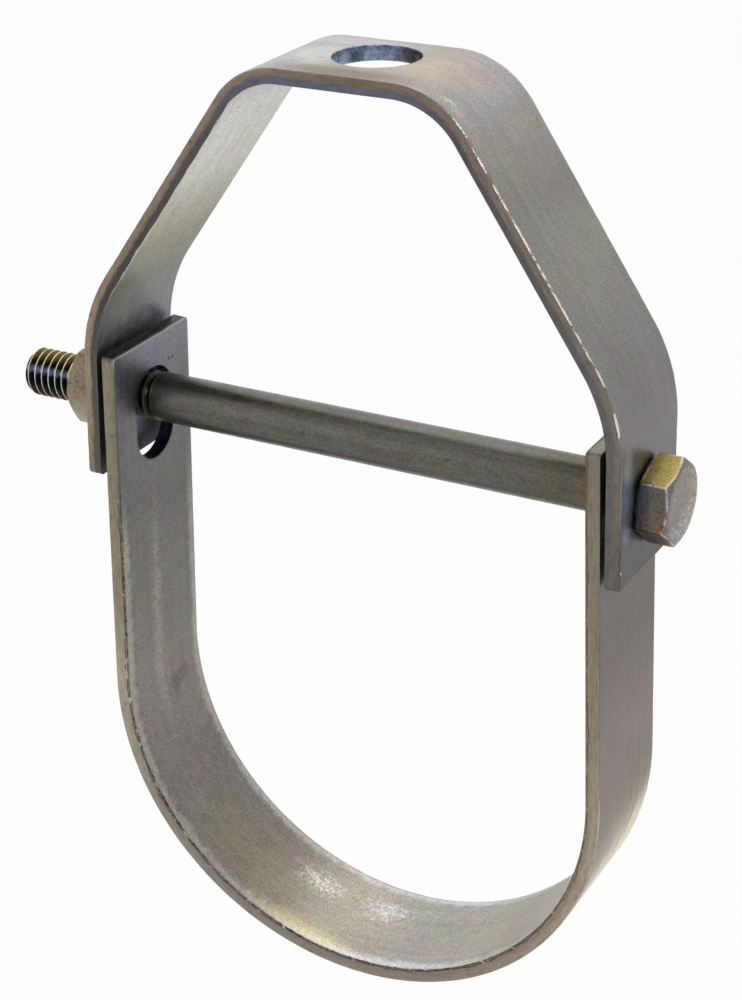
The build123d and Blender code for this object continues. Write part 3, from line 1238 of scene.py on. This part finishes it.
@dataclass(frozen=True)
class BoltFinish:
    """Plain oiled bolt steel: drawn shank, thread in painted highlights and shade, and a head with one flat tinted
    gold, partly as a painted warm highlight.

    The shank's stops are shares of its length from the nut's end, and the thread's are millimetres from below.
    """

    axis: Vector
    shank_end: float
    seat: float
    name: str = "bolt_steel_oiled"
    shank: Stops = ((0.0, 88, 88, 82), (0.12, 97, 96, 90), (0.76, 101, 99, 92), (0.86, 92, 88, 76),
                    (0.90, 100, 88, 66), (0.93, 78, 66, 48), (1.0, 70, 60, 48))
    crest: Stops = ((0.0, 210, 194, 160), (4.0, 214, 212, 208), (6.5, 220, 224, 234), (8.2, 240, 230, 190),
                    (10.0, 240, 232, 196))
    root: Stops = ((0.0, 84, 74, 62), (3.4, 68, 60, 52), (4.4, 34, 32, 34), (6.1, 36, 36, 42), (6.8, 142, 152, 172),
                   (7.3, 142, 152, 172), (7.9, 48, 46, 46), (8.4, 50, 46, 32), (9.0, 114, 104, 54),
                   (9.6, 122, 112, 62), (10.0, 80, 74, 52))
    oil: Colour = srgb(88, 84, 72)
    side: Colour = srgb(116, 109, 98)
    side_dark: Colour = srgb(40, 40, 34)
    gold_and_highlight: Colour = srgb(150, 134, 74)
    bevel: Colour = srgb(132, 127, 132)
    face: Colour = srgb(140, 134, 132)
    sheen: Colour = srgb(196, 178, 156)
    bright: Colour = srgb(226, 226, 228)
    blued: Colour = srgb(70, 76, 96)
    brown: Colour = srgb(142, 100, 58)
    pale_gold_highlight: Colour = srgb(244, 236, 190)
    shade_black: Colour = srgb(26, 24, 18)
    inside_crest_shade: Colour = srgb(70, 66, 48)

    def material(self) -> bpy.types.Material:
        """Build the finish's nodes.

        Returns:
            The material.
        """
        g = Graph(bpy.data.materials.new(self.name))
        where = g.place()
        drawn = g.noise(g.place(scale=(0.06, 1, 1)), 1300.0, 3.0, 0.6, 0.3)
        mottle = g.noise(where, 360.0, 4.0, 0.65, 0.4)
        grain = g.noise(where, 2400.0, 2.0, 0.6)
        outward, back, up = g.parts(g.place(shift=-self.axis))
        # Shank, from the nut's end to the head
        tone = g.ramp(g.sum("SUBTRACT", outward, self.shank_end), 1.0, self.shank, self.seat - self.shank_end)[0]
        tone = g.tinted(g.mix(g.span(mottle, 0.52, 0.68, 0.0, 0.5), tone, self.oil), where, 300.0, 0.35)
        tone = g.shaded(tone, g.uneven(1.0, (drawn, 0.14), (grain, 0.25), (mottle, 0.12)))
        # Head, bluer next to the washer face and browner under its outer corner
        near = g.sum("SUBTRACT", outward, self.seat)
        # Each flat darkened by its own share, partly as painted shade, most on the lower front flat
        side = g.mix(g.tag("shade"), self.side, self.side_dark)
        side = g.mix(g.span(near, 3.2 * MM, 0.6 * MM, 0.0, 0.55), side, self.blued)
        side = g.over(side, self.brown, g.span(near, 2.6 * MM, 5.0 * MM), g.span(up, 1.5 * MM, -3.0 * MM), 0.75)
        head = g.mix(g.tag("side"), self.bevel, side)
        end = g.over(self.face, self.sheen, g.span(back, -2.0 * MM, 5.0 * MM), g.span(grain, 0.40, 0.55), 0.8)
        face, gold_and_highlight = g.tag("face"), g.tag("gold_and_highlight")
        head = g.mix(face, head, end)
        # Painted shadow along the head's foot, next to the yoke
        head = g.mix(g.span(near, 0.75 * MM, 0.50 * MM, 0.0, 0.85), head, self.shade_black)
        head = g.tinted(g.over(head, self.gold_and_highlight, gold_and_highlight, 0.95), where, 900.0, 0.35)
        head = g.shaded(head, g.uneven(1.0, (mottle, 0.24), (grain, 0.34)))
        head = g.over(head, self.side, face, g.span(g.noise(where, 260.0, 6.0, 0.8), 0.44, 0.58, 0.0, 0.65))
        # Painted glints over the end face, more of them low down
        glint = g.product(face, g.span(g.noise(where, 2100.0, 2.0, 0.6), 0.66, 0.72))
        low = g.product(face, g.span(up, -2.0 * MM, -4.0 * MM), g.span(g.noise(where, 2600.0), 0.54, 0.60), 0.8)
        head = g.mix(g.sum("MAXIMUM", glint, low), head, self.bright)
        # The rim and the corners: burnished bright and partly painted highlight
        shine = g.mix(gold_and_highlight, self.bright, self.pale_gold_highlight)
        head = g.over(head, shine, g.tag("rim"), g.span(mottle, 0.38, 0.56), 0.65)
        head = g.over(head, shine, g.tag("corner"), g.span(g.noise(where, 900.0, 4.0, 0.7), 0.44, 0.52), 0.85)
        tone = g.mix(g.tag("head"), tone, head)
        # Thread: its bands by height are painted highlights, painted reflections and painted shade, and inside the
        # straps it is darkened as painted shade
        height = g.total(up, 5.0 * MM)
        inside = g.product(g.span(outward, -58.0 * MM, -54.0 * MM), 0.92)
        roots = g.mix(inside, g.ramp(height, 10.0, self.root)[0], self.shade_black)
        crests = g.mix(inside, g.ramp(height, 10.0, self.crest)[0], self.inside_crest_shade)
        thread_light_and_shade = g.mix(g.span(g.tag("crest"), 0.90, 1.0), roots, crests)
        thread_light_and_shade = g.shaded(thread_light_and_shade, g.uneven(1.0, (grain, 0.30), (mottle, 0.25)))
        tone = g.mix(g.span(g.tag("threaded"), 0.4, 0.6), tone, thread_light_and_shade)
        rough = g.span(mottle, *CLOUDS, 0.28, 0.46)
        height = g.total(g.product(mottle, 0.4), g.product(grain, 0.3), g.product(drawn, 0.25))
        return g.finish(tone, rough, height, 0.04 * MM, 1.0, 0.2)


@dataclass(frozen=True)
class NutFinish:
    """Dull plain nut steel, tan with fine dimples."""

    axis: Vector
    name: str = "nut_steel_plain"
    dark: Colour = srgb(116, 102, 85)
    mid: Colour = srgb(154, 139, 118)
    light: Colour = srgb(204, 192, 168)
    dimpled: Colour = srgb(60, 46, 36)

    def material(self) -> bpy.types.Material:
        """Build the finish's nodes.

        Returns:
            The material.
        """
        g = Graph(bpy.data.materials.new(self.name))
        where = g.place()
        mottle = g.noise(where, 420.0, 5.0, 0.7, 0.4)
        grain = g.noise(where, 2300.0, 3.0, 0.6)
        dimple = g.noise(g.place(shift=(0.4, 0.2, 0.1)), 900.0, 2.0, 0.6)
        up = g.parts(g.place(shift=-self.axis))[2]
        tone = g.mix(g.span(mottle, 0.35, 0.6), self.dark, self.mid)
        tone = g.mix(g.span(up, 1.0 * MM, -6.0 * MM, 0.0, 0.7), tone, self.light)
        tone = g.mix(g.span(grain, 0.5, 0.75, 0.0, 0.5), tone, self.light)
        tone = g.mix(g.span(dimple, 0.64, 0.70, 0.0, 0.6), tone, self.dimpled)
        tone = g.mix(g.tag("bore"), g.tinted(tone, where, 500.0, 0.35), self.dark)
        rough = g.span(mottle, *CLOUDS, 0.5, 0.68)
        height = g.total(g.product(mottle, 0.5), g.product(grain, 0.35), g.span(dimple, 0.62, 0.70, 0.0, -0.5))
        return g.finish(tone, rough, height, 0.05 * MM, 0.85)


# The studio


@dataclass
class Studio:
    """A pale floor far below the hanging part, a white surround, soft lamps and the camera."""

    bolt: Vector
    drop: float = 0.34
    floor_reach: float = 15.0
    azimuth: float = 29.065
    elevation: float = 25.577
    roll: float = -1.066
    lens: float = 79.488
    camera_place: tuple[float, float, float] = (0.17991, -0.32419, 0.16504)

    def _seen(self, g: Graph, plain: bpy.types.Node, white: bpy.types.Node, eye: float, end: str) -> None:
        """Show a backdrop as plain white to the eye, and partly so to glossy rays.

        Args:
            g: The backdrop's nodes.
            plain: Its own shader.
            white: Plain white light.
            eye: The share of white that the eye sees.
            end: The output node's name.
        """
        ray = g.node("LightPath").outputs
        share = g.sum("MAXIMUM", g.product(ray["Is Camera Ray"], eye), g.product(ray["Is Glossy Ray"], 0.25))
        mixed = g.node("MixShader", {0: share, 1: plain.outputs[0], 2: white.outputs[0]})
        g.set(g.tree.nodes[end], {"Surface": mixed.outputs[0]})

    def floor(self, lowest: float) -> None:
        """Lay the floor.

        Args:
            lowest: The object's lowest point.
        """
        grid = np.linspace(-self.floor_reach, self.floor_reach, 3)
        x, y = np.meshgrid(grid, grid, indexing="ij")
        points = np.stack([x.ravel(), y.ravel(), np.full(x.size, lowest - self.drop)], -1)
        mesh = bpy.data.meshes.new("floor")
        mesh.from_pydata(points.tolist(), [], ring_quads(3, 3)[:, ::-1].tolist())
        placed("floor", mesh)
        g = Graph(bpy.data.materials.new("white_floor"))
        plain = g.tree.nodes["Principled BSDF"]
        g.set(plain, {"Base Color": (0.9, 0.9, 0.9), "Roughness": 0.9})
        self._seen(g, plain, g.node("Emission", {"Color": WHITE}), 0.95, "Material Output")
        mesh.materials.append(g.owner)

    def surround(self, toward: tuple[float, float, float], low: float, high: float) -> None:
        """Make the world white to the eye, and a soft light that is strongest from one side.

        Args:
            toward: The direction that the light is strongest from.
            low: Its strength on the far side.
            high: Its strength there.
        """
        world = bpy.data.worlds.new("surround")
        bpy.context.scene.world = world
        g = Graph(world)
        where = g.node("TexCoord").outputs["Generated"]
        along = g.node("VectorMath", {0: where, 1: Vector(toward).normalized()}, operation="DOT_PRODUCT")
        span = {"Value": along.outputs["Value"], "From Min": -0.5, "From Max": 1.0, "To Min": low, "To Max": high}
        level = g.node("MapRange", span, interpolation_type="SMOOTHSTEP").outputs["Result"]
        light = g.tree.nodes["Background"]
        g.set(light, {"Color": WHITE, "Strength": level})
        self._seen(g, light, g.node("Background", {"Color": WHITE, "Strength": 1.0}), 1.0, "World Output")

    def lamp(self, name: str, place: tuple[float, float, float], aim: Vector, size: float, power: float) -> None:
        """Hang a square soft lamp.

        Args:
            name: The lamp's name.
            place: Where it hangs.
            aim: The point that it faces.
            size: Its side.
            power: Its power in watts.
        """
        data = bpy.data.lights.new(name, "AREA")
        data.shape = "SQUARE"
        data.size = size
        data.energy = power
        lamp = placed(name, data)
        lamp.location = place
        lamp.rotation_mode = "QUATERNION"
        lamp.rotation_quaternion = (Vector(place) - aim).to_track_quat("Z", "Y")

    def camera(self) -> None:
        """Set the camera where the photograph's outline puts it, counted from the bolt's middle."""
        azimuth, elevation, roll = (math.radians(v) for v in (self.azimuth, self.elevation, self.roll))
        level = Vector((math.cos(azimuth), math.sin(azimuth), 0))
        ahead = Vector((math.sin(azimuth), -math.cos(azimuth), 0))
        back = ahead * math.cos(elevation) + Vector((0, 0, math.sin(elevation)))
        upright = back.cross(level)
        right = level * math.cos(roll) + upright * math.sin(roll)
        up = upright * math.cos(roll) - level * math.sin(roll)
        data = bpy.data.cameras.new("camera")
        data.sensor_width = 36.0
        data.lens = self.lens
        data.clip_start, data.clip_end = 0.01, 50.0
        camera = placed("camera", data)
        turn = Matrix((right, up, back)).transposed().to_4x4()
        camera.matrix_world = Matrix.Translation(self.bolt + Vector(self.camera_place)) @ turn
        bpy.context.scene.camera = camera


YOKE_TONES: dict[str, Stops] = {
    # Darker down the leg by the head, partly as painted shade
    "outer": ((0, 140, 136, 132), (98, 160, 156, 152), (104, 152, 149, 146), (112, 150, 145, 139),
              (122, 156, 148, 138), (129, 166, 160, 154), (136, 174, 172, 172), (143, 167, 161, 154),
              (154, 145, 144, 137), (166, 155, 153, 143), (185, 144, 142, 140), (196, 137, 132, 133),
              (207, 120, 119, 121), (217, 90, 88, 86), (224, 84, 81, 80)),
    # Palest near the plate and darker towards the lap, as painted light and shade
    "inner": ((16, 118, 124, 142), (28, 144, 147, 156), (40.5, 129, 128, 110), (51, 146, 143, 122),
              (57, 173, 169, 150), (69, 209, 208, 198), (84, 216, 214, 208), (92, 200, 196, 190),
              (110, 160, 156, 148), (224, 142, 138, 134)),
    "rim_outer": ((0, 140, 122, 102), (22, 158, 142, 118), (44, 146, 126, 108), (84, 134, 120, 104),
                  (100, 132, 118, 104), (116, 118, 105, 92), (140, 134, 120, 108), (200, 122, 114, 104),
                  (224, 112, 104, 95)),
    "rim_inner": ((0, 92, 88, 80), (22, 90, 86, 78), (40, 74, 70, 66), (80, 86, 84, 86), (100, 100, 102, 118),
                  (118, 104, 105, 120), (140, 92, 90, 92), (200, 104, 102, 96), (224, 104, 102, 94)),
    # Near-white along the right slope's outer corner: a painted highlight
    "lip_outer": ((0, 40, 32, 28, 0.4), (20, 40, 32, 28, 0.8), (80, 40, 32, 28, 0.8), (90, 230, 226, 220, 0.0),
                  (134, 230, 226, 220, 0.0), (139, 252, 250, 248, 1.0), (196, 252, 250, 248, 1.0),
                  (203, 230, 226, 220, 0.0)),
    # The pale line along the left slope's inner corner: a painted highlight
    "lip_inner": ((0, 120, 118, 114, 0.0), (36, 200, 198, 192, 0.3), (45, 226, 224, 206, 0.9),
                  (96, 226, 224, 210, 0.8), (101, 200, 198, 192, 0.0)),
    # The pale blue band in the rod hole's wall: a painted reflection
    "punched": ((0, 60, 62, 70), (90, 110, 124, 150), (103, 140, 156, 186), (108, 150, 166, 196),
                (112, 128, 140, 166), (115, 92, 86, 94), (135, 98, 92, 102), (224, 60, 62, 70)),
    "crack": NOWHERE,
    "margin": NOWHERE,
}
YOKE_MARKS = (
    Mark(False, 126.0, -1.0, 13.0, 11.0, (204, 178, 142), 0.30, 90.0, 0.36),
    Mark(False, 134.0, -10.0, 5.0, 2.5, (236, 230, 218), 0.6, 900.0, 0.48),
    Mark(False, 104.0, -1.0, 9.0, 10.0, (222, 220, 216), 0.4, 160.0, 0.3),
    Mark(False, 114.0, -10.4, 17.0, 3.8, (112, 96, 76), 0.85, 200.0, 0.2),
    Mark(False, 108.0, 9.0, 15.0, 4.5, (204, 205, 214), 0.4, 200.0, 0.2),
    # A painted bluish reflection, lighting the leg in the head's shade
    Mark(False, 207.6, -9.8, 9.5, 3.4, (196, 210, 232), 0.9, 120.0, 0.1),
    # A painted glint
    Mark(False, 221.0, -12.2, 0.35, 0.3, (252, 252, 252), 1.0, 100.0, -1.0),
    Mark(True, 59.0, -7.0, 11.0, 5.0, (56, 54, 48), 0.7, 1100.0, 0.54),
    Mark(True, 30.0, -3.0, 8.0, 7.0, (152, 152, 116), 0.4, 420.0, 0.36),
    Mark(True, 45.0, 4.0, 12.0, 7.0, (70, 68, 60), 0.6, 900.0, 0.57),
)
STRAP_TONES: dict[str, Stops] = {
    # Paler from 200 to 219, partly as a painted reflection
    "outer": ((0, 140, 134, 128), (200, 170, 160, 140), (219, 160, 150, 131), (232, 143, 131, 118),
              (249, 138, 125, 119), (267, 113, 105, 101), (306, 112, 106, 102)),
    # Lighter at the nut's end, as painted light where the yoke shades the leg
    "inner": ((0, 136, 136, 146), (9, 122, 121, 126), (34.8, 113, 111, 108), (57, 127, 124, 118),
              (83, 142, 135, 130), (103, 142, 139, 133), (122, 143, 134, 126), (135, 160, 153, 140),
              (143, 166, 159, 145), (165, 160, 155, 149), (183, 164, 158, 144), (210, 158, 154, 144),
              (306, 140, 136, 132)),
    # Near-black at the end by the nut, where the yoke shades it: painted shade
    "rim_outer": ((0.8, 42, 41, 42), (1.2, 140, 131, 112), (48, 148, 137, 116), (70, 172, 163, 145),
                  (100, 152, 143, 128), (170, 144, 131, 120), (222, 172, 158, 140), (236, 168, 154, 134),
                  (270, 137, 126, 104), (306, 134, 125, 110)),
    # Near-black at the end by the nut: painted shade
    "rim_inner": ((0.8, 24, 24, 26), (1.2, 134, 127, 108), (48, 142, 132, 112), (70, 166, 158, 140),
                  (100, 144, 136, 122), (170, 138, 125, 116), (236, 152, 140, 120), (306, 130, 121, 104)),
    # Pale along the outer corner low on the head's side: a painted highlight
    "lip_outer": ((206, 226, 216, 196, 0.0), (216, 232, 222, 200, 0.75), (236, 232, 222, 200, 0.75),
                  (244, 226, 216, 196, 0.0)),
    # Pale at the end by the nut as a painted highlight, then a dark line of painted shade along the seam
    "lip_inner": ((0, 190, 188, 184, 0.8), (1, 190, 188, 184, 0.8), (3, 70, 64, 58, 0.5), (306, 60, 52, 44, 0.6)),
    # A dark line of painted shade in the crack
    "crack": ((24, 40, 36, 34, 0.0), (34, 32, 26, 22, 1.0), (196, 32, 26, 22, 1.0), (216, 60, 46, 36, 0.6),
              (306, 74, 58, 46, 0.4)),
    # Dark navy slot walls: painted shade
    "punched": ((0, 46, 52, 70), (306, 46, 52, 70)),
    # A paler margin along the drooping edges: a painted highlight
    "margin": ((26, 180, 176, 166, 0.0), (40, 188, 184, 168, 0.5), (110, 204, 202, 196, 0.6),
               (170, 220, 222, 226, 0.55), (230, 180, 176, 166, 0.3), (306, 180, 176, 166, 0.0)),
}
STRAP_MARKS = (
    # A painted highlight along the front edge at the bottom of the round
    Mark(True, 138.5, -10.4, 17.0, 3.0, (218, 204, 152), 0.5, 200.0, 0.2),
    Mark(True, 136.0, 3.6, 10.0, 5.5, (244, 242, 234), 0.65, 1500.0, 0.44),
    Mark(True, 153.0, 3.8, 10.0, 6.5, (226, 232, 236), 0.55, 1100.0, 0.43),
    Mark(True, 121.0, -3.0, 24.0, 10.0, (152, 144, 112), 0.4, 110.0, 0.25),
    Mark(True, 62.0, -1.6, 44.0, 2.8, (164, 158, 140), 0.7, 760.0, 0.38),
    Mark(True, 6.2, 5.3, 0.45, 0.35, (14, 14, 16), 1.0, 100.0, -1.0),
    Mark(True, 6.4, 6.6, 0.5, 0.35, (14, 14, 16), 1.0, 100.0, -1.0),
    Mark(True, 78.0, 4.0, 5.0, 6.0, (88, 84, 82), 0.5, 300.0, 0.40),
    # Two painted reflections on the outer face, low on the head's side
    Mark(False, 208.0, 0.0, 22.0, 18.0, (244, 234, 204), 1.0, 900.0, 0.32, 0.06),
    Mark(False, 219.0, 9.5, 15.0, 8.0, (252, 244, 216), 0.9, 900.0, 0.36, 0.06),
    Mark(False, 231.0, 2.5, 20.0, 11.0, (104, 86, 60), 0.55, 1100.0, 0.48, 0.045),
    Mark(False, 223.0, 2.0, 18.0, 12.0, (222, 208, 178), 0.5, 1000.0, 0.46, 0.05),
)


def main() -> None:
    """Build the pieces in order, dress them and set up the studio."""
    logging.basicConfig(level=logging.INFO, format="%(name)s %(message)s")
    swing = next(j for j in frame["joints"] if j["name"] == "strap_swing")
    travel = next(c for c in frame["record"]["behaviour"]["couplings"] if c["joint"] == "nut_travel")
    axis, pitch = Vector(swing["pos_m"]), travel["ratio"] * 2 * math.pi
    low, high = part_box("upper_yoke")
    width = high.y - low.y
    # Both ends of the bolt and of the nut, counted from the axis point, the end at the nut first
    bolt, nut = ([corner.x - axis.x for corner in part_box(node)] for node in ("cross_bolt", "hex_nut"))
    thread = Thread(pitch, origin=bolt[0] + 0.35 * pitch)
    cross_bolt = CrossBolt(axis, thread, Hexagon(turn=19.6), far_end=bolt[1], end=bolt[0])
    hex_nut = HexNut(axis, thread, Hexagon(turn=-4.0), near=nut[1], far=nut[0])
    yoke, strap = UpperYoke(axis, width).strip(), LowerStrap(axis, width).strip()
    yoke_finish, strap_finish = (
        StripFinish(name, strip.side.length / MM, strip.thickness, width / 2, seed, tones, marks)
        for name, strip, seed, tones, marks in (
            ("yoke_steel_strip", yoke, 0.0, YOKE_TONES, YOKE_MARKS),
            ("strap_steel_strip", strap, 5.0, STRAP_TONES, STRAP_MARKS)))
    bolt_finish = BoltFinish(axis, cross_bolt.shank_end, cross_bolt.seat)
    for part, node, body, slot, finish in (
        (yoke, "upper_yoke", "yoke", Slot.YOKE, yoke_finish),
        (strap, "lower_strap", "strap", Slot.STRAP, strap_finish),
        (cross_bolt, "cross_bolt", "bolt", Slot.BOLT, bolt_finish),
        (hex_nut, "hex_nut", "nut", Slot.NUT, NutFinish(axis)),
    ):
        piece = part.build()
        piece.data.materials.append(finish.material())
        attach(piece, body)
        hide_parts(node)
        log.info("%s stands for %s and rides on %s", piece.name, node, body)
    studio = Studio(axis)
    middle = (cad_box[0] + cad_box[1]) / 2
    studio.floor(cad_box[0].z)
    studio.surround(toward=(-0.75, 0.50, 0.16), low=0.40, high=1.15)
    studio.lamp("top_lamp", (-0.35, 0.5, 1.1), middle, size=0.9, power=2.5)
    studio.lamp("front_lamp", (-0.9, -1.3, 0.35), middle, size=1.0, power=1.6)
    studio.lamp("glint_lamp", (0.62, -0.85, 0.62), middle, size=0.22, power=2.2)
    studio.camera()
    bpy.context.scene.view_settings.view_transform = "Standard"


if __name__ == "__main__":
    main()
